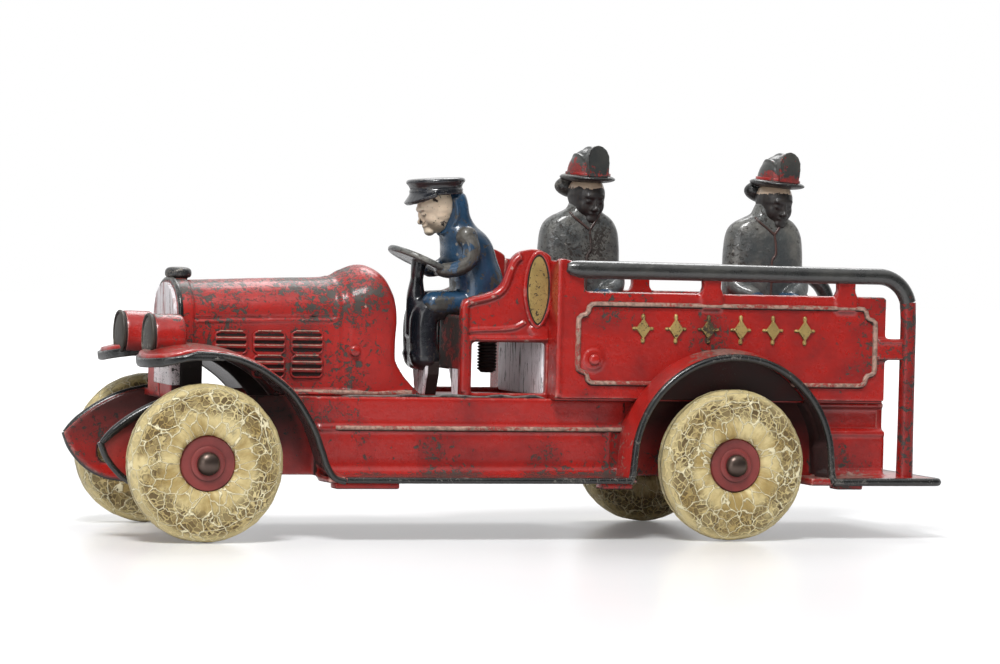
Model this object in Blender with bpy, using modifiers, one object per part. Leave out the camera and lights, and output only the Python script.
# A cast iron toy fire patrol truck: two hollow body castings riveted side by side, a seated
# driver, two firemen on the right bench, and four tyred wheels turning on two plain axles.
# The truck faces -X. Lengths are metres, distances along it run back from the front axle,
# heights rise from the ground, and widths run out from the centre plane.
import math

import bmesh
import bpy
from mathutils import Matrix, Vector

# Running gear
WHEELBASE = 0.1500
FRONT_OVERHANG = 0.0263
REAR_OVERHANG = 0.0645
TRACK = 0.0680
TYRE_RADIUS = 0.0210
TYRE_WIDTH = 0.0106
TYRE_SHOULDER = 0.0040
HUB_RADIUS = 0.00755
HUB_BARREL_RADIUS = 0.0056
HUB_WIDTH = 0.0074
HUB_FLANGE = 0.0014
AXLE_RADIUS = 0.0022
AXLE_HEAD_RADIUS = 0.0031
AXLE_HEAD_HEIGHT = 0.0024
AXLE_BOSS_RADIUS = 0.0046

# Castings
CLEARANCE = 0.0003
WALL = 0.0022
SHEET = 0.0018
BITE = 0.0008
FRAME_HALF_WIDTH = 0.0245
FRAME_TOP = 0.0385
FRAME_BOTTOM = 0.0172
FRAME_LENGTH_BEHIND = 0.0506
MOULDING_HEIGHT = 0.0298
MOULDING_DEPTH = 0.0012
MOULDING_STAND = 0.0005
HORN_ROOT = -0.0030
HORN_TIP_HEIGHT = 0.0258
HORN_DEPTH = 0.0130
HORN_SHARPNESS = 1.70
HORN_HOLE_RADIUS = 0.0052
HORN_HOLE_AHEAD = 0.0112

# Fenders and running board
FENDER_GAP = 0.0072
FENDER_REACH = 0.0368
FENDER_NOSE = 0.0184
FENDER_NOSE_DROP = 0.0014
FENDER_RIM_WIDTH = 0.0016
FENDER_RIM_DEPTH = 0.0028
FRONT_FENDER_SWEEP = 0.0380
REAR_FENDER_DROP = 0.0045
BOARD_THICKNESS = 0.0016
LUG_DEPTH = 0.0014
LUG_LENGTH = 0.0180

# Hood, radiator, cowl and lamps
HOOD_HALF_WIDTH = 0.0136
HOOD_CREASE = 0.0206
HOOD_CROWN = 0.0302
HOOD_SQUARENESS = 2.2
HOOD_RISE = 0.0018
HOOD_END = 0.0415
COWL_CREST = 0.0515
COWL_END = 0.0590
COWL_RISE = 0.0053
COWL_FOOT = 0.0085
COWL_FOOT_HEIGHT = 0.0120
RADIATOR_AHEAD = 0.0040
RADIATOR_DEPTH = 0.0050
RADIATOR_STAND = 0.0007
COLUMN_DEPTH = 0.0058
COLUMN_FOOT = 0.0025
CAP_RADIUS = 0.0035
CAP_HEIGHT = 0.0035
CAP_BACK = -0.0002
LAMP_RADIUS = 0.0067
LAMP_OUT = 0.0178
LAMP_HEIGHT = 0.0533
LAMP_AHEAD = 0.0141
LAMP_LENGTH = 0.0120
LAMP_RIM = 0.0007
LAMP_RECESS = 0.0012
LOUVRE_COLUMNS = 3
LOUVRE_ROWS = 6
LOUVRE_LENGTH = 0.0090
LOUVRE_PITCH = 0.0104
LOUVRE_START = 0.0067
LOUVRE_LOW = 0.0066
LOUVRE_STEP = 0.0019
LOUVRE_STAND = 0.0007

# Cab
SEAT_FRONT = 0.0745
SEAT_RISE = 0.0220
SEAT_PANEL_DROP = 0.0150
SEAT_SIDE_OUT = 0.0212
SEAT_ARM_RISE = 0.0262
SEAT_PEAK_RISE = 0.0407
SEAT_POST = 0.0032
WINDOW_RISE = 0.0153
MEDALLION_HEIGHT = 0.0210
MEDALLION_WIDTH = 0.0062
MEDALLION_STAND = 0.0013

# Cargo box
SEAT_LENGTH = 0.0251
BOX_LENGTH = 0.0992
BOX_HALF_WIDTH = 0.0285
BOX_RISE = 0.0298
BEAD_RADIUS = 0.0006
BEAD_INSET = 0.0055
BEAD_TOP_INSET = 0.0036
BEAD_NOTCH = 0.0034
PILLAR_RADIUS = 0.0021
RAIL_RADIUS = 0.00245
RAIL_RISE = 0.0057
RAIL_BEND = 0.0095
POST_WIDTH = 0.0062
FIRST_POST_PLACE = 0.0457
SECOND_POST_PLACE = 0.0866
HANDRAIL_BEHIND = 0.0074
BRACKET_RISE = 0.0150
BRACKET_DEPTH = 0.0058
STEP_TOP = 0.0176
STEP_THICKNESS = 0.0026
STEP_LEAD = 0.0270
BENCH_RISE = 0.0225

# Rivets and figure studs
RIVET_RADIUS = 0.0011
RIVET_HEAD_RADIUS = 0.0016
RIVET_HEAD_HEIGHT = 0.0009
RIVET_BOSS_RADIUS = 0.0031
RIVET_BOSS_STAND = 0.0009
REAR_RIVET_BEHIND_BOX_FRONT = 0.0110
REAR_RIVET_RISE = 0.0110
FRONT_RIVET_PLACE = 0.0460
FRONT_RIVET_RISE = 0.0120
STUD_RADIUS = 0.0028
STUD_BELOW = 0.0160
STUD_ABOVE = 0.0060
NUT_WIDTH = 0.0090
NUT_HEIGHT = 0.0034

# Driver, with lengths ahead of his hips and heights above his seat
DRIVER_BEFORE_BOX = 0.0104
HEAD_RADIUS = 0.0062
TORSO_RISE = 0.0240
TORSO_WIDTH = 0.0200
LAP_AHEAD = 0.0050
LAP_DEPTH = 0.0184
LAP_RISE = 0.0072
LAP_HEIGHT = 0.0182
CHEST_AHEAD = 0.0084
CHEST_DEPTH = 0.0148
CHEST_RISE = 0.0163
CHEST_HEIGHT = 0.0173
COLLAR_AHEAD = 0.0112
COLLAR_RISE = 0.0262
COLLAR_RADIUS = 0.0062
SHOULDER_AHEAD = 0.0062
SHOULDER_RISE = 0.0211
ELBOW_AHEAD = 0.0118
ELBOW_RISE = 0.0130
DRIVER_HEAD_AHEAD = 0.0167
DRIVER_HEAD_RISE = 0.0287
CAP_BAND_RADIUS = 0.0065
CAP_BAND_RISE = 0.0040
CAP_CROWN_RISE = 0.0072
CAP_CROWN_RADIUS = 0.0081
CAP_CROWN_TOP = 0.0092
CAP_CROWN_BACK = 0.0006
VISOR_REACH = 0.0086
VISOR_WIDTH = 0.0080
VISOR_RISE = 0.0030
VISOR_THICKNESS = 0.0015
WHEEL_RADIUS = 0.0082
WHEEL_AHEAD = 0.0214
WHEEL_RISE = 0.0156
WHEEL_TILT = math.radians(18)
HAND_BACK = 0.0036
HAND_DROP = 0.0022
COLUMN_RADIUS = 0.0013
COLUMN_LEAN = 0.0018
COLUMN_LOW = 0.0030
ARM_RADIUS = 0.0027
THIGH_RADIUS = 0.0035
THIGH_RISE = 0.0037
KNEE_AHEAD = 0.0190
SHIN_AHEAD = 0.0204
SHIN_DROP = 0.0060
ANKLE_DROP = 0.0140
LAP_ROBE_RADIUS = 0.0024
SHOE_TOE = 0.0236
SHOE_HEEL = 0.0160
SHOE_WIDTH = 0.0052
SHOE_HEIGHT = 0.0038
SOLE_DROP = 0.0163
SEAT_ROOM_AHEAD = 0.0110
SEAT_ROOM_BEHIND = 0.0200
SEAT_ROOM_DEPTH = 0.0080

# Firemen, with lengths ahead of the coat's middle and heights above the bench
FRONT_FIREMAN_BEHIND_BOX_FRONT = 0.0228
REAR_FIREMAN_BEHIND_BOX_FRONT = 0.0799
FIREMAN_BACK_GAP = 0.0008
COAT_WIDTH = 0.0235
COAT_DEPTH = 0.0110
COAT_RISE = 0.0120
COAT_HEIGHT = 0.0269
NECK_RISE = 0.0265
NECK_RADIUS = 0.0040
NECK_AHEAD = 0.0010
NECK_HEIGHT = 0.0100
FIREMAN_HEAD_AHEAD = 0.0024
FIREMAN_HEAD_TURN = 0.0006
FIREMAN_HEAD_RISE = 0.0338
FIREMAN_HEAD_RADIUS = 0.0056
FIREMAN_HEAD_HEIGHT = 0.0136
BRIM_RADIUS = 0.0081
BRIM_RISE = 0.0040
BRIM_THICKNESS = 0.0018
BRIM_SHIFT = 0.0008
HELMET_RADIUS = 0.0070
HELMET_RISE = 0.0050
HELMET_HEIGHT = 0.0184
SLEEVE_RADIUS = 0.0030
SLEEVE_OUT = 0.0085
SLEEVE_RISE = 0.0215
CUFF_OUT = 0.0108
CUFF_RISE = 0.0110
CUFF_AHEAD = 0.0012
KNEE_OUT = 0.0052
GLOVE_AHEAD = 0.0070
GLOVE_RISE = 0.0075
BOOT_RADIUS = 0.0036
BOOT_RISE = 0.0040
BOOT_AHEAD = 0.0045
BOOT_LEAN = 0.0005
BOOT_DROP = 0.0090

ROUND_STEPS = 20
TYRE_STEPS = 36
ARCH_STEPS = 10
CENTRE_GAP = CLEARANCE / 2
FRONT_AXLE_X = (FRONT_OVERHANG - WHEELBASE - REAR_OVERHANG) / 2
FENDER_RADIUS = TYRE_RADIUS + FENDER_GAP + SHEET / 2
WHEEL_OUT = TRACK / 2
BOX_FRONT = SEAT_FRONT + SEAT_LENGTH
SEAT_TOP = FRAME_TOP + SEAT_RISE
BENCH_TOP = FRAME_TOP + BENCH_RISE
BOX_TOP = FRAME_TOP + BOX_RISE
BOX_END = BOX_FRONT + BOX_LENGTH
DRIVER_PLACE = BOX_FRONT - DRIVER_BEFORE_BOX
FRAME_END = WHEELBASE + FRAME_LENGTH_BEHIND
STEP_END = WHEELBASE + REAR_OVERHANG
RAIL_HEIGHT = BOX_TOP + RAIL_RISE
NUT_RADIUS = NUT_WIDTH / math.sqrt(3)
FIREMAN_OUT = BOX_HALF_WIDTH - WALL - COAT_DEPTH / 2 - FIREMAN_BACK_GAP
BENCH_INNER = FIREMAN_OUT - NUT_RADIUS - WALL - 2 * CLEARANCE

for old in list(bpy.data.objects):
    bpy.data.objects.remove(old)
truckParts = bpy.data.collections.new("toy_fire_truck")
cutters = bpy.data.collections.new("cutters")
for group in (truckParts, cutters):
    bpy.context.scene.collection.children.link(group)
truck = bpy.data.objects.new("truck", None)
truck.location.x = FRONT_AXLE_X
truckParts.objects.link(truck)


def paint(name, colour, roughness, metallic):
    material = bpy.data.materials.new(name)
    material.use_nodes = True
    shader = material.node_tree.nodes["Principled BSDF"]
    shader.inputs["Base Color"].default_value = (*colour, 1)
    shader.inputs["Roughness"].default_value = roughness
    shader.inputs["Metallic"].default_value = metallic
    return material


redEnamel = paint("red_enamel", (0.48, 0.016, 0.012), 0.3, 0.0)
roseEnamel = paint("rose_enamel", (0.26, 0.03, 0.035), 0.45, 0.0)
blueEnamel = paint("blue_enamel", (0.02, 0.05, 0.12), 0.4, 0.0)
blackEnamel = paint("black_enamel", (0.02, 0.02, 0.024), 0.35, 0.2)
rubber = paint("cream_rubber", (0.66, 0.53, 0.28), 0.8, 0.0)
steel = paint("dark_steel", (0.12, 0.10, 0.09), 0.4, 0.9)


def settle(name, mesh, place=(0, 0, 0)):
    """An object holding the mesh, parented to the truck."""
    made = bpy.data.objects.new(name, mesh)
    made.location = place
    made.parent = truck
    truckParts.objects.link(made)
    return made


def fromShape(name, shape):
    mesh = bpy.data.meshes.new(name)
    bmesh.ops.recalc_face_normals(shape, faces=shape.faces)
    shape.to_mesh(mesh)
    shape.free()
    return settle(name, mesh)


def box(name, along, out, height):
    """A block between two distances along the truck, two out from its centre and two heights."""
    spans = [Vector(span) for span in zip(along, out, height)]
    shape = bmesh.new()
    bmesh.ops.create_cube(shape, size=1)
    size = spans[1] - spans[0]
    bmesh.ops.scale(shape, vec=size, verts=shape.verts)
    bmesh.ops.translate(shape, vec=(spans[0] + spans[1]) / 2, verts=shape.verts)
    return fromShape(name, shape)


def rod(name, along, height, radius, out, sides=ROUND_STEPS):
    """A round bar across the truck."""
    shape = bmesh.new()
    turn = Matrix.Translation((along, sum(out) / 2, height)) @ Matrix.Rotation(math.pi / 2, 4, "X")
    bmesh.ops.create_cone(
        shape, cap_ends=True, segments=sides, radius1=radius, radius2=radius,
        depth=out[1] - out[0], matrix=turn,
    )
    return fromShape(name, shape)


def pillar(name, along, out, radius, height, sides=ROUND_STEPS):
    """An upright round bar."""
    shape = bmesh.new()
    middle = Matrix.Translation((along, out, sum(height) / 2))
    bmesh.ops.create_cone(
        shape, cap_ends=True, segments=sides, radius1=radius, radius2=radius, depth=height[1] - height[0],
        matrix=middle,
    )
    return fromShape(name, shape)


def ball(name, centre, radii, segments=16):
    shape = bmesh.new()
    bmesh.ops.create_uvsphere(shape, u_segments=segments, v_segments=segments // 2, radius=1)
    bmesh.ops.scale(shape, vec=radii, verts=shape.verts)
    bmesh.ops.translate(shape, vec=centre, verts=shape.verts)
    return fromShape(name, shape)


def meshOf(guide):
    """The curve's mesh, its caps welded, in place of the curve."""
    bpy.context.view_layer.update()
    graph = bpy.context.evaluated_depsgraph_get()
    mesh = bpy.data.meshes.new_from_object(guide.evaluated_get(graph))
    shape = bmesh.new()
    shape.from_mesh(mesh)
    shape.transform(guide.matrix_local)
    bmesh.ops.remove_doubles(shape, verts=shape.verts, dist=CLEARANCE / 100)
    name = guide.name
    bpy.data.objects.remove(guide)
    bpy.data.meshes.remove(mesh)
    return fromShape(name, shape)


def curveObject(name, lines, cyclic):
    data = bpy.data.curves.new(name, "CURVE")
    for line in lines:
        spline = data.splines.new("POLY")
        spline.points.add(len(line) - 1)
        for point, place in zip(spline.points, line):
            point.co = (*place, 1) if len(place) == 3 else (*place, 0, 1)
        spline.use_cyclic_u = cyclic
    made = bpy.data.objects.new(name, data)
    made.parent = truck
    truckParts.objects.link(made)
    return made


def sideSheet(name, outlines, out):
    """A flat piece lying along the truck, its outlines given as (along, height)."""
    guide = curveObject(name, outlines, True)
    guide.data.dimensions = "2D"
    guide.data.fill_mode = "BOTH"
    guide.data.extrude = (out[1] - out[0]) / 2
    guide.rotation_euler.x = math.pi / 2
    guide.location.y = sum(out) / 2
    return meshOf(guide)


def crossSheet(name, outline, along):
    """A flat piece lying across the truck, its outline given as (out, height)."""
    guide = curveObject(name, [outline], True)
    guide.data.dimensions = "2D"
    guide.data.fill_mode = "BOTH"
    guide.data.extrude = (along[1] - along[0]) / 2
    guide.rotation_euler = (math.pi / 2, 0, math.pi / 2)
    guide.location.x = sum(along) / 2
    return meshOf(guide)


def tube(name, points, radius, cyclic=False, sides=2):
    guide = curveObject(name, [points], cyclic)
    guide.data.dimensions = "3D"
    guide.data.bevel_depth = radius
    guide.data.bevel_resolution = sides
    guide.data.use_fill_caps = True
    return meshOf(guide)


def turned(name, profile, steps=ROUND_STEPS):
    """A shape turned about its own Z axis from (radius, height) points, outer side first, top to bottom."""
    guide = bpy.data.meshes.new(name)
    points = [(radius, 0, height) for radius, height in profile]
    ring = [(i, (i + 1) % len(points)) for i in range(len(points))]
    guide.from_pydata(points, [edge for edge in ring if any(profile[i][0] for i in edge)], [])
    made = settle(name, guide)
    screw = made.modifiers.new("turn", "SCREW")
    screw.steps = screw.render_steps = steps
    screw.use_merge_vertices = True
    screw.merge_threshold = CLEARANCE / 10
    made.data.shade_smooth()
    return made


def applied(made):
    """The same object with its modifiers and its place worked into the mesh."""
    bpy.context.view_layer.update()
    graph = bpy.context.evaluated_depsgraph_get()
    mesh = bpy.data.meshes.new_from_object(made.evaluated_get(graph))
    mesh.transform(made.matrix_local)
    made.modifiers.clear()
    made.data = mesh
    made.matrix_local = Matrix()
    return made


def hide(tool):
    truckParts.objects.unlink(tool)
    cutters.objects.link(tool)
    tool.hide_render = True
    tool.display_type = "WIRE"


def combine(made, tools, operation):
    for tool in tools:
        step = made.modifiers.new(tool.name, "BOOLEAN")
        step.solver = "MANIFOLD"
        step.operation = operation
        step.object = tool
        hide(tool)
    return made


def finish(made, material):
    made.data.materials.clear()
    made.data.materials.append(material)
    made.data.shade_smooth()
    made.data.set_sharp_from_angle(angle=math.radians(35))


def arc(centre, radius, start, end, steps=ARCH_STEPS):
    """Points of a round stretch, its angles in degrees above the horizontal, 0 to the rear."""
    turns = [math.radians(start + (end - start) * i / steps) for i in range(steps + 1)]
    return [(centre[0] + radius * math.cos(a), centre[1] + radius * math.sin(a)) for a in turns]


def band(path, thickness):
    """The outline of a strip of even thickness along a path."""
    sides = ([], [])
    for i, here in enumerate(path):
        before, after = path[max(i - 1, 0)], path[min(i + 1, len(path) - 1)]
        way = Vector((after[0] - before[0], after[1] - before[1])).normalized()
        for side, sign in zip(sides, (1, -1)):
            side.append((here[0] - way.y * sign * thickness / 2, here[1] + way.x * sign * thickness / 2))
    return sides[0] + sides[1][::-1]


def hoodArch(growth, inset=0.0):
    """Half of the hood's section, from its crown out and down to the frame."""
    width = HOOD_HALF_WIDTH * growth - inset
    crease = HOOD_CREASE * growth
    rise = (HOOD_CROWN - HOOD_CREASE) * growth - inset
    points = []
    for i in range(ARCH_STEPS + 1):
        turn = math.pi / 2 * i / ARCH_STEPS
        across = width * math.sin(turn) ** (2 / HOOD_SQUARENESS)
        up = rise * math.cos(turn) ** (2 / HOOD_SQUARENESS)
        points.append((max(across, CENTRE_GAP), FRAME_TOP + crease + up))
    return points


def frontFenderPath():
    nose = (-FENDER_NOSE, TYRE_RADIUS + FENDER_RADIUS - FENDER_NOSE_DROP)
    foot = (FRONT_FENDER_SWEEP, FRAME_BOTTOM)
    return [nose] + arc((0, TYRE_RADIUS), FENDER_RADIUS, 98, 24, 2 * ARCH_STEPS) + [foot]


def frontFenderInnerPath():
    """The stretch of the front fender that reaches in over the frame to the hood."""
    low = math.degrees(math.asin((FRAME_TOP - WALL / 2 - TYRE_RADIUS) / FENDER_RADIUS))
    return frontFenderPath()[:1] + arc((0, TYRE_RADIUS), FENDER_RADIUS, 98, low, 2 * ARCH_STEPS)


def rearFenderPath():
    low = FRAME_BOTTOM - BOARD_THICKNESS / 2
    start = (WHEELBASE + FENDER_RADIUS, low)
    end = (WHEELBASE - FENDER_RADIUS, low)
    return [start] + arc((WHEELBASE, TYRE_RADIUS), FENDER_RADIUS, 0, 180, 2 * ARCH_STEPS) + [end]


def rearFenderLegs():
    """The two stretches of the rear fender beside the frame, below the cargo box."""
    low = FRAME_BOTTOM - BOARD_THICKNESS / 2 + CLEARANCE
    top = math.degrees(math.asin((FRAME_TOP - TYRE_RADIUS) / FENDER_RADIUS))
    legs = []
    for side, start in ((1, 0), (-1, 180)):
        curve = arc((WHEELBASE, TYRE_RADIUS), FENDER_RADIUS, start, start + side * top)
        legs.append([(WHEELBASE + side * FENDER_RADIUS, low)] + curve)
    return legs


def hornLine(rise, flip, steps=ARCH_STEPS):
    """One edge of the frame horn, from its root to its tip."""
    reach = FRONT_OVERHANG + HORN_ROOT
    points = []
    for i in range(steps + 1):
        turn = math.pi / 2 * i / steps
        back = reach * math.sin(turn) ** (2 / HORN_SHARPNESS)
        up = rise * math.cos(turn) ** (2 / HORN_SHARPNESS)
        points.append((HORN_ROOT - back, HORN_TIP_HEIGHT + flip * up))
    return points


def frameParts():
    """The side of the running frame with its horn, its deck, the axle bosses and the mouldings."""
    low = TYRE_RADIUS - AXLE_BOSS_RADIUS - BITE
    foot = FRONT_FENDER_SWEEP
    columnBack = COLUMN_DEPTH - RADIATOR_AHEAD
    upper = hornLine(FRAME_TOP - HORN_TIP_HEIGHT, 1)
    lower = hornLine(HORN_DEPTH, -1)[::-1]
    base = [(foot, FRAME_BOTTOM), (WHEELBASE - FENDER_RADIUS, FRAME_BOTTOM)]
    dip = [(WHEELBASE - 2 * AXLE_BOSS_RADIUS, low), (WHEELBASE + 2 * AXLE_BOSS_RADIUS, low)]
    tail = [(FRAME_END, STEP_TOP - BITE), (FRAME_END, FRAME_TOP)]
    hole = arc((-HORN_HOLE_AHEAD, HORN_TIP_HEIGHT - WALL), HORN_HOLE_RADIUS, 0, 342, 19)
    inner = FRAME_HALF_WIDTH - WALL
    wheelSide = WHEEL_OUT - HUB_WIDTH / 2 - CLEARANCE
    deck = ((CENTRE_GAP, inner + BITE), (FRAME_TOP - WALL, FRAME_TOP - BITE / 2))
    parts = [
        sideSheet("frame_side", [upper + lower + base + dip + tail, hole], (inner, FRAME_HALF_WIDTH)),
        box("front_deck", (-RADIATOR_AHEAD, columnBack - BITE / 2), *deck),
        box("rear_deck", (HOOD_END, FRAME_END - BITE), *deck),
        box(
            "side_moulding", (FRONT_FENDER_SWEEP - WALL, WHEELBASE - FENDER_RADIUS),
            (inner + BITE, FRAME_HALF_WIDTH + MOULDING_STAND),
            (MOULDING_HEIGHT - MOULDING_DEPTH / 2, MOULDING_HEIGHT + MOULDING_DEPTH / 2),
        ),
        box(
            "tail_moulding", (WHEELBASE + FENDER_RADIUS, FRAME_END + MOULDING_STAND),
            (inner + BITE, FRAME_HALF_WIDTH + MOULDING_STAND),
            (MOULDING_HEIGHT - MOULDING_DEPTH, MOULDING_HEIGHT + MOULDING_DEPTH),
        ),
    ]
    for end, along in (("front", 0), ("rear", WHEELBASE)):
        boss = (inner + BITE, wheelSide)
        parts.append(rod(end + "_axle_boss", along, TYRE_RADIUS, AXLE_BOSS_RADIUS, boss))
    return parts


def fenderParts():
    """Both fenders with their rims, the running board and the lugs under its ends."""
    inner = HOOD_HALF_WIDTH - WALL / 2
    rim = (FENDER_REACH - FENDER_RIM_WIDTH, FENDER_REACH + CLEARANCE)
    boardStart = FRONT_FENDER_SWEEP - WALL
    boardEnd = WHEELBASE - FENDER_RADIUS + SHEET / 2
    boardLow = FRAME_BOTTOM - BOARD_THICKNESS
    frameSide = FRAME_HALF_WIDTH - WALL / 2
    boardSide = (frameSide, FENDER_REACH - CLEARANCE)
    legSide = (frameSide, BOX_HALF_WIDTH)
    parts = [
        sideSheet("front_fender", [band(frontFenderPath(), SHEET)], (frameSide, FENDER_REACH)),
        sideSheet(
            "front_fender_inner", [band(frontFenderInnerPath(), SHEET - CLEARANCE)], (inner, frameSide + BITE)
        ),
        sideSheet("front_rim", [band(frontFenderPath(), FENDER_RIM_DEPTH)], rim),
        sideSheet(
            "rear_fender", [band(rearFenderPath(), SHEET)], (BOX_HALF_WIDTH - WALL / 2, FENDER_REACH)
        ),
        sideSheet("rear_rim", [band(rearFenderPath(), FENDER_RIM_DEPTH)], rim),
        box("running_board", (boardStart, boardEnd), boardSide, (boardLow, FRAME_BOTTOM + BITE / 2)),
    ]
    for number, leg in enumerate(rearFenderLegs()):
        parts.append(sideSheet(f"fender_leg_{number}", [band(leg, SHEET - CLEARANCE)], legSide))
    for number, start in enumerate((boardStart + BITE, boardEnd - LUG_LENGTH / 2 - BITE)):
        length = LUG_LENGTH / (number + 1)
        parts.append(
            box(
                f"lug_{number}", (start, start + length),
                (FENDER_REACH - 3 * WALL, FENDER_REACH - BITE), (boardLow - LUG_DEPTH, boardLow + BITE),
            )
        )
    return parts


def hoodParts():
    """The hood and cowl shell, the radiator and its column, the filler cap, the lamp and the louvres."""
    height = HOOD_CROWN
    stations = [
        (-RADIATOR_AHEAD / 2, 1.0),
        (HOOD_END * 0.5, 1 + HOOD_RISE / height * 0.7),
        (HOOD_END, 1 + HOOD_RISE / height),
        (HOOD_END + (COWL_CREST - HOOD_END) * 0.4, 1 + (HOOD_RISE + COWL_RISE * 0.35) / height),
        (HOOD_END + (COWL_CREST - HOOD_END) * 0.7, 1 + (HOOD_RISE + COWL_RISE * 0.55) / height),
        (COWL_CREST, 1 + COWL_RISE / height),
        (COWL_END - WALL, 1 + COWL_RISE * 0.62 / height),
        (COWL_END, 1 + COWL_RISE * 0.1 / height),
    ]
    shape = bmesh.new()
    rings = []
    for along, growth in stations:
        outline = hoodArch(growth)
        outline.append((HOOD_HALF_WIDTH * growth, FRAME_TOP - WALL))
        rings.append([shape.verts.new((along, out, up)) for out, up in outline])
    for ring in rings:
        for first, second in zip(ring, ring[1:]):
            shape.edges.new((first, second))
    for first, second in zip(rings, rings[1:]):
        joined = [edge for edge in shape.edges if set(edge.verts) <= set(first) | set(second)]
        bmesh.ops.bridge_loops(shape, edges=joined)
    bmesh.ops.recalc_face_normals(shape, faces=shape.faces)
    hood = fromShape("hood_shell", shape)
    shell = hood.modifiers.new("shell", "SOLIDIFY")
    shell.thickness = WALL
    shell.offset = -1
    applied(hood)

    wide = 1 + RADIATOR_STAND / HOOD_HALF_WIDTH
    front = (-RADIATOR_AHEAD, -RADIATOR_AHEAD + WALL)
    columnLow = FRAME_TOP - COLUMN_FOOT
    outer = hoodArch(wide) + [(HOOD_HALF_WIDTH * wide, columnLow)]
    face = outer + [(CENTRE_GAP, columnLow)]
    inner = hoodArch(1.0, WALL) + [(HOOD_HALF_WIDTH - WALL, columnLow)]
    bandDepth = (-RADIATOR_AHEAD + BITE, -RADIATOR_AHEAD + RADIATOR_DEPTH)
    dash = hoodArch(1.0) + [(HOOD_HALF_WIDTH, FRAME_TOP - BITE), (CENTRE_GAP, FRAME_TOP - BITE)]
    crown = FRAME_TOP + HOOD_CROWN
    footWidth = HOOD_HALF_WIDTH * (1 + COWL_RISE / height)
    foot = [
        (COWL_END - 2 * WALL, FRAME_TOP - BITE), (COWL_END - 2 * WALL, FRAME_TOP + COWL_FOOT_HEIGHT),
        (COWL_END - WALL / 2, FRAME_TOP + COWL_FOOT_HEIGHT),
        (COWL_END, FRAME_TOP + COWL_FOOT_HEIGHT / 2),
        (COWL_END + COWL_FOOT / 3, FRAME_TOP + COWL_FOOT_HEIGHT / 4), (COWL_END + COWL_FOOT, FRAME_TOP),
        (COWL_END + COWL_FOOT, FRAME_TOP - BITE),
    ]
    parts = [
        hood,
        crossSheet("radiator_face", face, front),
        crossSheet("radiator_band", outer + inner[::-1], bandDepth),
        crossSheet("dash", dash, (COWL_END - WALL, COWL_END - BITE / 2)),
        sideSheet("cowl_foot", [foot], (HOOD_HALF_WIDTH - WALL, footWidth)),
        pillar("filler_neck", CAP_BACK, 0, CAP_RADIUS * 0.7, (crown - WALL, crown + CAP_HEIGHT / 2), 16),
        pillar("filler_cap", CAP_BACK, 0, CAP_RADIUS, (crown + CAP_HEIGHT * 0.3, crown + CAP_HEIGHT), 16),
    ]
    lampInner = LAMP_RADIUS - LAMP_RIM
    lensPlace = LAMP_LENGTH - LAMP_RECESS
    rimBack = LAMP_LENGTH - 2 * LAMP_RECESS
    lamp = turned(
        "headlamp",
        [
            (lampInner - BITE, lensPlace), (lampInner, LAMP_LENGTH), (LAMP_RADIUS, LAMP_LENGTH),
            (LAMP_RADIUS, rimBack), (lampInner, rimBack), (LAMP_RADIUS * 0.85, LAMP_LENGTH * 0.35),
            (LAMP_RADIUS * 0.5, 0.0), (0.0, 0.0), (0.0, lensPlace),
        ],
    )
    lamp.location = (LAMP_LENGTH - LAMP_AHEAD, LAMP_OUT, LAMP_HEIGHT)
    lamp.rotation_euler.y = -math.pi / 2
    parts.append(applied(lamp))
    for column in range(LOUVRE_COLUMNS):
        start = LOUVRE_START + column * LOUVRE_PITCH
        for row in range(LOUVRE_ROWS):
            gap = LOUVRE_STEP if row >= LOUVRE_ROWS / 2 else 0
            low = FRAME_TOP + LOUVRE_LOW + row * LOUVRE_STEP + gap
            parts.append(
                box(
                    f"louvre_{column}_{row}", (start, start + LOUVRE_LENGTH),
                    (HOOD_HALF_WIDTH - WALL / 2, HOOD_HALF_WIDTH * (1 + HOOD_RISE / height) + LOUVRE_STAND),
                    (low, low + LOUVRE_STEP * 0.6),
                )
            )
    return parts


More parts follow.
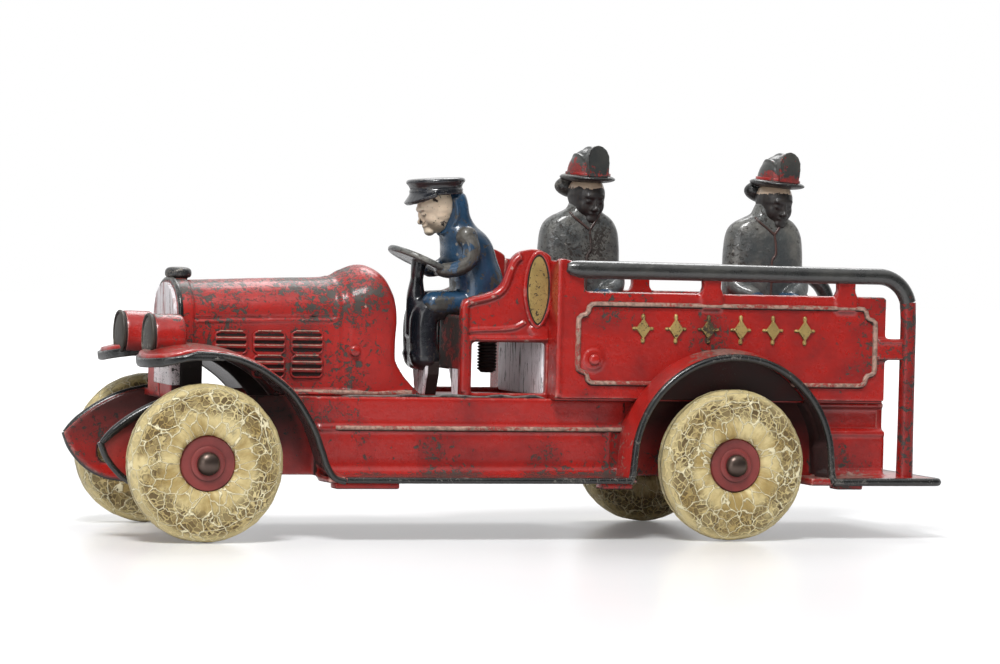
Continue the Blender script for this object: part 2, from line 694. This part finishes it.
def cabParts():
    """The seat, its front panel, the side panel with its window and the medallion on it."""
    inner = SEAT_SIDE_OUT - WALL
    back = BOX_FRONT + WALL / 2
    top = [
        (SEAT_FRONT, FRAME_TOP - BITE), (SEAT_FRONT, FRAME_TOP + SEAT_ARM_RISE - BITE),
        (SEAT_FRONT + WALL / 2, FRAME_TOP + SEAT_ARM_RISE + BITE),
    ]
    scroll = back - MEDALLION_WIDTH * 1.5
    peak = FRAME_TOP + SEAT_PEAK_RISE
    rise = peak - (FRAME_TOP + SEAT_ARM_RISE)
    top += [(scroll - MEDALLION_WIDTH, peak - rise * 0.75), (scroll - WALL, peak - rise * 0.6)]
    top += [(scroll, peak - rise * 0.3), (scroll + WALL, peak - rise * 0.08)]
    top += [(scroll + MEDALLION_WIDTH, peak), (back, peak - WALL), (back, FRAME_TOP - BITE)]
    window = [
        (SEAT_FRONT + SEAT_POST, FRAME_TOP + BITE), (SEAT_FRONT + SEAT_POST, FRAME_TOP + WINDOW_RISE),
        (BOX_FRONT - BITE, FRAME_TOP + WINDOW_RISE), (BOX_FRONT - BITE, FRAME_TOP + BITE),
    ]
    middle = (back - MEDALLION_WIDTH * 0.72, peak - MEDALLION_HEIGHT / 2 - BITE / 4)
    oval = [
        (middle[0] + x * MEDALLION_WIDTH / 2, middle[1] + z * MEDALLION_HEIGHT / 2)
        for x, z in arc((0, 0), 1, 0, 360 - 360 / ROUND_STEPS, ROUND_STEPS - 1)
    ]
    return [
        sideSheet("seat_side", [top, window], (inner, SEAT_SIDE_OUT)),
        sideSheet("medallion", [oval], (inner + BITE, SEAT_SIDE_OUT + MEDALLION_STAND)),
        box(
            "seat_pan", (SEAT_FRONT + BITE, BOX_FRONT + BITE), (CENTRE_GAP, inner + BITE),
            (SEAT_TOP - WALL, SEAT_TOP),
        ),
        box(
            "seat_front", (SEAT_FRONT + CLEARANCE, SEAT_FRONT + WALL), (CENTRE_GAP, inner + BITE),
            (SEAT_TOP - SEAT_PANEL_DROP, SEAT_TOP - BITE),
        ),
    ]


def beadLine():
    """The raised panel line on the cargo side, with its corners notched inwards."""
    left, right = BOX_FRONT + BEAD_INSET, BOX_END - BEAD_TOP_INSET
    low, high = FRAME_TOP + BEAD_TOP_INSET, BOX_TOP - BEAD_TOP_INSET
    points = []
    corners = ((left, low), (left, high), (right, high), (right, low))
    for corner, start in zip(corners, (0, -90, 180, 90)):
        points += arc(corner, BEAD_NOTCH, start, start + 90, 4)
    return [(along, BOX_HALF_WIDTH, up) for along, up in points]


def cargoParts():
    """The box side, its bulkhead, bench, pillar, rail with posts, bracket, rear step and boss."""
    wallSide = (BOX_HALF_WIDTH - WALL, BOX_HALF_WIDTH)
    railOut = BOX_HALF_WIDTH
    postAlong = BOX_END + HANDRAIL_BEHIND
    bend = arc((postAlong - RAIL_BEND, RAIL_HEIGHT - RAIL_BEND), RAIL_BEND, 90, 0, 6)
    railPath = [(BOX_FRONT, RAIL_HEIGHT)] + bend + [(postAlong, STEP_TOP - BITE)]
    bracketLow = FRAME_TOP + BRACKET_RISE - BRACKET_DEPTH / 2
    stepLow = STEP_TOP - STEP_THICKNESS
    postSide = (BOX_HALF_WIDTH - WALL + BITE / 2, BOX_HALF_WIDTH + BITE)
    parts = [
        rod(
            "rear_rivet_boss", BOX_FRONT + REAR_RIVET_BEHIND_BOX_FRONT, FRAME_TOP + REAR_RIVET_RISE,
            RIVET_BOSS_RADIUS, (CENTRE_GAP, BOX_HALF_WIDTH + RIVET_BOSS_STAND),
        ),
        box("box_side", (BOX_FRONT, BOX_END), wallSide, (FRAME_TOP, BOX_TOP)),
        box(
            "box_floor", (BOX_FRONT, BOX_END), (CENTRE_GAP, BOX_HALF_WIDTH - BITE),
            (FRAME_TOP - BITE, FRAME_TOP + WALL),
        ),
        box(
            "bulkhead", (BOX_FRONT + CLEARANCE, BOX_FRONT + WALL), (CENTRE_GAP, BOX_HALF_WIDTH - BITE),
            (FRAME_TOP - BITE / 2, BOX_TOP - CLEARANCE),
        ),
        box(
            "bench_top", (BOX_FRONT + BITE, BOX_END - CLEARANCE), (BENCH_INNER, BOX_HALF_WIDTH - BITE),
            (BENCH_TOP - WALL, BENCH_TOP),
        ),
        box(
            "bench_riser", (BOX_FRONT + BITE, BOX_END - CLEARANCE),
            (BENCH_INNER + CLEARANCE, BENCH_INNER + WALL), (FRAME_TOP + BITE, BENCH_TOP - BITE),
        ),
        pillar(
            "box_pillar", BOX_FRONT + BITE, BOX_HALF_WIDTH - BITE, PILLAR_RADIUS,
            (FRAME_TOP + BITE, RAIL_HEIGHT), 16,
        ),
        tube("rail", [(along, railOut, up) for along, up in railPath], RAIL_RADIUS),
        tube("panel_bead", beadLine(), BEAD_RADIUS, cyclic=True, sides=1),
        box(
            "rail_bracket", (BOX_END - WALL, postAlong), postSide, (bracketLow, bracketLow + BRACKET_DEPTH),
        ),
        box(
            "side_step", (FRAME_END - STEP_LEAD, STEP_END - BITE),
            (FRAME_HALF_WIDTH - WALL / 2, FENDER_REACH + BITE / 2), (stepLow, STEP_TOP),
        ),
        box(
            "rear_step", (FRAME_END - WALL, STEP_END), (CENTRE_GAP, FENDER_REACH),
            (stepLow + BITE / 4, STEP_TOP - BITE / 4),
        ),
        rod(
            "front_rivet_boss", FRONT_RIVET_PLACE, FRAME_TOP + FRONT_RIVET_RISE, RIVET_BOSS_RADIUS,
            (CENTRE_GAP, HOOD_HALF_WIDTH * (1 + HOOD_RISE / HOOD_CROWN) + RIVET_BOSS_STAND),
        ),
    ]
    for number, place in enumerate((FIRST_POST_PLACE, SECOND_POST_PLACE)):
        start = BOX_FRONT + place - POST_WIDTH / 2
        parts.append(
            box(f"rail_post_{number}", (start, start + POST_WIDTH), postSide, (BOX_TOP - BITE, RAIL_HEIGHT))
        )
    return parts


def wheelWell():
    """What the front wheel well takes out of the hood's foot, below the fender and behind the column."""
    start = COLUMN_DEPTH - RADIATOR_AHEAD
    low = FRAME_TOP - 2 * WALL
    radius = FENDER_RADIUS - SHEET / 2 + CLEARANCE
    high = math.degrees(math.acos(start / radius))
    end = math.degrees(math.asin((low - TYRE_RADIUS) / radius))
    outline = [(start, low)] + arc((0, TYRE_RADIUS), radius, high, end)
    return sideSheet("wheel_well", [outline], (WALL, FRAME_HALF_WIDTH - WALL - CLEARANCE))


def castHalf():
    """The right casting, whose mirror image is the left one."""
    pieces = frameParts() + fenderParts() + hoodParts() + cabParts() + cargoParts()
    half = pieces[0]
    half.name = "body_right"
    combine(half, pieces[1:], "UNION")
    wide = TRACK
    overCentre = box("other_side", (-TRACK, 2 * WHEELBASE), (-wide, CENTRE_GAP), (-TRACK, 2 * TRACK))
    bores = [
        rod("axle_bore_front", 0, TYRE_RADIUS, AXLE_RADIUS + CLEARANCE, (-wide, wide)),
        rod("axle_bore_rear", WHEELBASE, TYRE_RADIUS, AXLE_RADIUS + CLEARANCE, (-wide, wide)),
        rod(
            "rivet_bore_rear", BOX_FRONT + REAR_RIVET_BEHIND_BOX_FRONT, FRAME_TOP + REAR_RIVET_RISE,
            RIVET_RADIUS + CLEARANCE, (-wide, wide), 12,
        ),
        rod(
            "rivet_bore_front", FRONT_RIVET_PLACE, FRAME_TOP + FRONT_RIVET_RISE, RIVET_RADIUS + CLEARANCE,
            (-wide, wide), 12,
        ),
        pillar(
            "driver_bore", DRIVER_PLACE, 0, STUD_RADIUS + CLEARANCE, (SEAT_TOP - 2 * WALL, SEAT_TOP + WALL)
        ),
    ]
    combine(half, [overCentre, wheelWell()] + bores, "DIFFERENCE")
    return half


def mirrored(name, source):
    """The other hand of a casting, as a mesh of its own."""
    bpy.context.view_layer.update()
    graph = bpy.context.evaluated_depsgraph_get()
    mesh = bpy.data.meshes.new_from_object(source.evaluated_get(graph))
    mesh.transform(Matrix.Scale(-1, 4, (0, 1, 0)))
    mesh.flip_normals()
    return settle(name, mesh)


def makeRivet(name, along, height, halfWidth):
    reach = halfWidth + CLEARANCE
    shank = turned(
        name,
        [
            (0.0, reach + RIVET_HEAD_HEIGHT), (RIVET_HEAD_RADIUS * 0.7, reach + RIVET_HEAD_HEIGHT * 0.75),
            (RIVET_HEAD_RADIUS, reach), (RIVET_RADIUS, reach), (RIVET_RADIUS, -reach),
            (RIVET_HEAD_RADIUS, -reach), (RIVET_HEAD_RADIUS * 0.7, -reach - RIVET_HEAD_HEIGHT * 0.75),
            (0.0, -reach - RIVET_HEAD_HEIGHT),
        ],
        12,
    )
    shank.location = (along, 0, height)
    shank.rotation_euler.x = math.pi / 2
    finish(shank, redEnamel)


def makeAxle(name, along):
    reach = WHEEL_OUT + HUB_WIDTH / 2 + CLEARANCE
    axle = turned(
        name,
        [
            (0.0, reach + AXLE_HEAD_HEIGHT), (AXLE_HEAD_RADIUS * 0.6, reach + AXLE_HEAD_HEIGHT * 0.85),
            (AXLE_HEAD_RADIUS * 0.9, reach + AXLE_HEAD_HEIGHT * 0.5), (AXLE_HEAD_RADIUS, reach),
            (AXLE_RADIUS, reach), (AXLE_RADIUS, -reach), (AXLE_HEAD_RADIUS, -reach),
            (AXLE_HEAD_RADIUS * 0.9, -reach - AXLE_HEAD_HEIGHT * 0.5),
            (AXLE_HEAD_RADIUS * 0.6, -reach - AXLE_HEAD_HEIGHT * 0.85), (0.0, -reach - AXLE_HEAD_HEIGHT),
        ],
    )
    axle.location = (along, 0, TYRE_RADIUS)
    axle.rotation_euler.x = math.pi / 2
    finish(axle, steel)


def makeWheel(corner, along, side):
    """A cast hub with a flange each side of its barrel, and the rubber tyre that sits between them."""
    half = HUB_WIDTH / 2
    bore = AXLE_RADIUS + CLEARANCE
    seat = half - HUB_FLANGE
    hub = turned(
        corner + "_hub",
        [
            (bore, half), (HUB_RADIUS, half), (HUB_RADIUS, seat), (HUB_BARREL_RADIUS, seat),
            (HUB_BARREL_RADIUS, -seat), (HUB_RADIUS, -seat), (HUB_RADIUS, -half), (bore, -half),
        ],
    )
    finish(hub, roseEnamel)
    wide = TYRE_WIDTH / 2
    shoulder = [
        (TYRE_RADIUS - TYRE_SHOULDER + across, wide - TYRE_SHOULDER + up)
        for up, across in arc((0, 0), TYRE_SHOULDER, 90, 0, 3)
    ]
    lower = [(across, -up) for across, up in reversed(shoulder)]
    flangeRoom = HUB_RADIUS + CLEARANCE
    seatRoom = seat - CLEARANCE
    barrelRoom = HUB_BARREL_RADIUS + CLEARANCE
    tyre = turned(
        corner + "_tyre",
        [(flangeRoom, wide)] + shoulder[::-1] + lower[::-1] + [
            (flangeRoom, -wide), (flangeRoom, -seatRoom), (barrelRoom, -seatRoom), (barrelRoom, seatRoom),
            (flangeRoom, seatRoom),
        ],
        TYRE_STEPS,
    )
    finish(tyre, rubber)
    for piece in (hub, tyre):
        piece.location = (along, side * WHEEL_OUT, TYRE_RADIUS)
        piece.rotation_euler.x = math.pi / 2


def makeStud(name, along, out, seatTop):
    """A threaded stud hanging below a seat, and the nut that draws the figure down on it."""
    stud = pillar(name + "_stud", along, out, STUD_RADIUS, (seatTop - STUD_BELOW, seatTop + STUD_ABOVE))
    nutTop = seatTop - WALL - CLEARANCE
    nut = pillar(name + "_nut", along, out, NUT_RADIUS, (nutTop - NUT_HEIGHT, nutTop), 6)
    span = (nutTop - 2 * NUT_HEIGHT, nutTop + NUT_HEIGHT)
    bore = pillar(name + "_nut_bore", along, out, STUD_RADIUS + CLEARANCE, span)
    applied(combine(nut, [bore], "DIFFERENCE"))
    finish(stud, steel)
    finish(nut, steel)


def limb(name, points, radius):
    return tube(name, points, radius, sides=1)


def makeDriver():
    """The driver sits facing forward, hands on the steering wheel, in a peaked cap."""
    seat = SEAT_TOP + CLEARANCE
    hip = DRIVER_PLACE
    thigh = TORSO_WIDTH / 4
    wide = TORSO_WIDTH / 2
    lap = (LAP_DEPTH / 2, wide - CLEARANCE, LAP_HEIGHT / 2)
    body = ball("driver", (hip - LAP_AHEAD, 0, seat + LAP_RISE), lap)
    head = (hip - DRIVER_HEAD_AHEAD, 0, seat + DRIVER_HEAD_RISE)
    rim = (hip - WHEEL_AHEAD, 0, seat + WHEEL_RISE)
    crown = (head[2] + CAP_CROWN_RISE, head[2] + CAP_CROWN_TOP)
    visor = (head[2] + VISOR_RISE, head[2] + VISOR_RISE + VISOR_THICKNESS)
    chest = (CHEST_DEPTH / 2, wide, CHEST_HEIGHT / 2)
    collar = (COLLAR_RADIUS - CLEARANCE, COLLAR_RADIUS, COLLAR_RADIUS + BITE)
    parts = [
        ball("driver_chest", (hip - CHEST_AHEAD, 0, seat + CHEST_RISE), chest),
        ball("driver_collar", (hip - COLLAR_AHEAD, 0, seat + COLLAR_RISE), collar),
        ball("driver_head", head, (HEAD_RADIUS - CLEARANCE, HEAD_RADIUS - BITE, HEAD_RADIUS + CLEARANCE)),
        pillar("driver_band", head[0], 0, CAP_BAND_RADIUS, (head[2] + CAP_BAND_RISE, crown[1] - BITE), 16),
        pillar("driver_crown", head[0] + CAP_CROWN_BACK, 0, CAP_CROWN_RADIUS, crown, 16),
        box("driver_visor", (head[0] - VISOR_REACH, head[0]), (-VISOR_WIDTH / 2, VISOR_WIDTH / 2), visor),
    ]
    wheel = rod("driver_wheel", 0, 0, WHEEL_RADIUS, (-SHEET / 2, SHEET / 2), 20)
    wheel.data.transform(
        Matrix.Translation(rim) @ Matrix.Rotation(WHEEL_TILT, 4, "Y") @ Matrix.Rotation(math.pi / 2, 4, "X")
    )
    parts.append(wheel)
    columnFoot = (rim[0] - COLUMN_LEAN, 0, seat + COLUMN_LOW)
    parts.append(limb("driver_column", [rim, columnFoot], COLUMN_RADIUS))
    for side in (-1, 1):
        knee = side * thigh
        shoe = (knee - SHOE_WIDTH / 2, knee + SHOE_WIDTH / 2)
        parts += [
            limb(f"driver_arm_{side}", [
                (hip - SHOULDER_AHEAD, side * wide * 0.80, seat + SHOULDER_RISE),
                (hip - ELBOW_AHEAD, side * wide * 0.98, seat + ELBOW_RISE),
                (rim[0] + HAND_BACK, side * wide * 0.62, rim[2] - HAND_DROP),
            ], ARM_RADIUS),
            limb(f"driver_leg_{side}", [
                (hip, knee, seat + THIGH_RISE), (hip - KNEE_AHEAD, knee, seat + THIGH_RISE),
                (hip - SHIN_AHEAD, knee, seat - SHIN_DROP), (hip - KNEE_AHEAD, knee, seat - ANKLE_DROP),
            ], THIGH_RADIUS),
            box(
                f"driver_shoe_{side}", (hip - SHOE_TOE, hip - SHOE_HEEL), shoe,
                (seat - SOLE_DROP, seat - SOLE_DROP + SHOE_HEIGHT),
            ),
        ]
    robe = (hip - KNEE_AHEAD + BITE, seat + COLUMN_LOW)
    robeEnds = [(robe[0], -thigh, robe[1]), (robe[0], thigh, robe[1])]
    parts.append(limb("driver_knees", robeEnds, LAP_ROBE_RADIUS))
    combine(body, parts, "UNION")
    socketTop = SEAT_TOP + STUD_ABOVE + CLEARANCE
    combine(body, [
        pillar("driver_socket", hip, 0, STUD_RADIUS + CLEARANCE, (seat - STUD_BELOW, socketTop)),
        box(
            "driver_underside", (hip - SEAT_ROOM_AHEAD, hip + SEAT_ROOM_BEHIND), (-TRACK, TRACK),
            (seat - SEAT_ROOM_DEPTH, seat),
        ),
    ], "DIFFERENCE")
    finish(applied(body), blueEnamel)


def makeFireman(name, place):
    """A fireman sits facing inwards on the right bench, in a long coat and a crested helmet."""
    seat = BENCH_TOP + CLEARANCE
    out = FIREMAN_OUT
    wide = COAT_WIDTH / 2
    coat = (wide, COAT_DEPTH / 2 + CLEARANCE, COAT_HEIGHT / 2)
    body = ball(name, (place, out, seat + COAT_RISE), coat)
    head = (place + FIREMAN_HEAD_TURN, out - FIREMAN_HEAD_AHEAD, seat + FIREMAN_HEAD_RISE)
    neck = (NECK_RADIUS, NECK_RADIUS, NECK_HEIGHT / 2)
    skull = (FIREMAN_HEAD_RADIUS, FIREMAN_HEAD_RADIUS, FIREMAN_HEAD_HEIGHT / 2)
    brim = (head[2] + BRIM_RISE, head[2] + BRIM_RISE + BRIM_THICKNESS)
    dome = (HELMET_RADIUS, HELMET_RADIUS, HELMET_HEIGHT / 2)
    parts = [
        ball(name + "_neck", (place, out - NECK_AHEAD, seat + NECK_RISE), neck),
        ball(name + "_head", head, skull),
        pillar(name + "_brim", head[0] - BRIM_SHIFT, head[1], BRIM_RADIUS, brim, 16),
        ball(name + "_dome", (place, head[1], head[2] + HELMET_RISE), dome),
    ]
    for side in (-1, 1):
        knee = place + side * KNEE_OUT
        parts += [
            limb(f"{name}_arm_{side}", [
                (place + side * SLEEVE_OUT, out, seat + SLEEVE_RISE),
                (place + side * CUFF_OUT, out - CUFF_AHEAD, seat + CUFF_RISE),
                (knee, out - GLOVE_AHEAD, seat + GLOVE_RISE),
            ], SLEEVE_RADIUS),
            limb(f"{name}_leg_{side}", [
                (knee, out, seat + BOOT_RISE), (knee, BENCH_INNER - BOOT_AHEAD, seat + BOOT_RISE),
                (knee, BENCH_INNER - BOOT_AHEAD - BOOT_LEAN, seat - BOOT_DROP),
            ], BOOT_RADIUS),
        ]
    combine(body, parts, "UNION")
    socketTop = BENCH_TOP + STUD_ABOVE + CLEARANCE
    combine(body, [
        pillar(name + "_socket", place, out, STUD_RADIUS + CLEARANCE, (seat - STUD_BELOW, socketTop)),
        box(
            name + "_underside", (place - COAT_WIDTH, place + COAT_WIDTH), (BENCH_INNER - CLEARANCE, TRACK),
            (seat - COAT_WIDTH, seat),
        ),
    ], "DIFFERENCE")
    finish(applied(body), blackEnamel)


firemanPlaces = (
    ("front_fireman", BOX_FRONT + FRONT_FIREMAN_BEHIND_BOX_FRONT),
    ("rear_fireman", BOX_FRONT + REAR_FIREMAN_BEHIND_BOX_FRONT),
)
right = castHalf()
left = mirrored("body_left", right)
combine(right, [
    pillar(
        name + "_bore", place, FIREMAN_OUT, STUD_RADIUS + CLEARANCE, (BENCH_TOP - 2 * WALL, BENCH_TOP + WALL)
    )
    for name, place in firemanPlaces
], "DIFFERENCE")
applied(right)
finish(right, redEnamel)
finish(left, redEnamel)
makeRivet(
    "rear_rivet", BOX_FRONT + REAR_RIVET_BEHIND_BOX_FRONT, FRAME_TOP + REAR_RIVET_RISE,
    BOX_HALF_WIDTH + RIVET_BOSS_STAND,
)
makeRivet(
    "front_rivet", FRONT_RIVET_PLACE, FRAME_TOP + FRONT_RIVET_RISE,
    HOOD_HALF_WIDTH * (1 + HOOD_RISE / HOOD_CROWN) + RIVET_BOSS_STAND,
)
for end, along in (("front", 0), ("rear", WHEELBASE)):
    makeAxle(end + "_axle", along)
    makeWheel(end + "_left", along, -1)
    makeWheel(end + "_right", along, 1)
makeDriver()
makeStud("driver", DRIVER_PLACE, 0, SEAT_TOP)
for name, place in firemanPlaces:
    makeFireman(name, place)
    makeStud(name, place, FIREMAN_OUT, BENCH_TOP)
